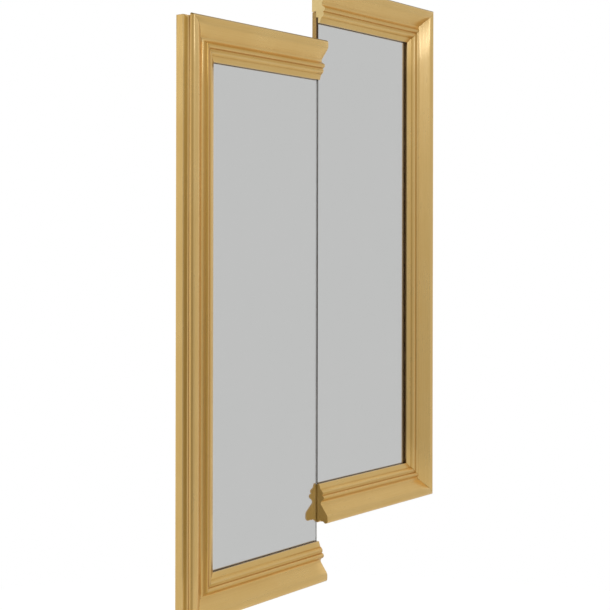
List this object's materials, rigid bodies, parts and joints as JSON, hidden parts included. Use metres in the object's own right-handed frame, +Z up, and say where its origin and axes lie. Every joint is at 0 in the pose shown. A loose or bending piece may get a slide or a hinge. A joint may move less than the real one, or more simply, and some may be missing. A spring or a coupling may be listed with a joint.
{
  "type": "wall mirror",
  "caption": "Framed wall mirror cut on one vertical line into halves set a step apart, in a wide gilt classical moulding, hung on keyhole plates.",
  "frame": {"origin": "centre of the joining batten's back face, on the wall plane and on the line of the cut", "axes": "+Z up, +X to the right seen from the front, +Y into the wall, the glass faces -Y"},
  "size_m": [0.8, 0.0532, 1.2],
  "materials": {
    "gilt_moulding": "satin gold leaf over wood",
    "mirror_glass": "polished, silvered at the back, the right pane's cut edge painted dark",
    "backing_board": "fibreboard, plain at the back, edge toned gold brown",
    "batten_wood": "plywood, sanded",
    "foam_tape": "white foam with adhesive on both faces",
    "zinc_screws": "zinc plated, yellow passivated",
    "steel_nails": "plain strip steel",
    "hanger_steel": "zinc plated sheet",
    "black_rubber": "matt"
  },
  "bodies": {
    "root": {"left_stile": "gilt_moulding", "left_top_rail": "gilt_moulding", "left_bottom_rail": "gilt_moulding", "right_stile": "gilt_moulding", "right_top_rail": "gilt_moulding", "right_bottom_rail": "gilt_moulding", "left_mirror_pane": "mirror_glass", "right_mirror_pane": "mirror_glass", "left_mounting_tape": "foam_tape", "right_mounting_tape": "foam_tape", "left_backing_board": "backing_board", "right_backing_board": "backing_board", "left_board_screws": "zinc_screws", "right_board_screws": "zinc_screws", "left_corner_nails": "steel_nails", "right_corner_nails": "steel_nails", "joining_batten": "batten_wood", "batten_screws": "zinc_screws", "left_hanger_plate": "hanger_steel", "right_hanger_plate": "hanger_steel", "hanger_screws": "zinc_screws", "wall_bumpers": "black_rubber", "bumper_screws": "zinc_screws"}
  },
  "joints": []
}
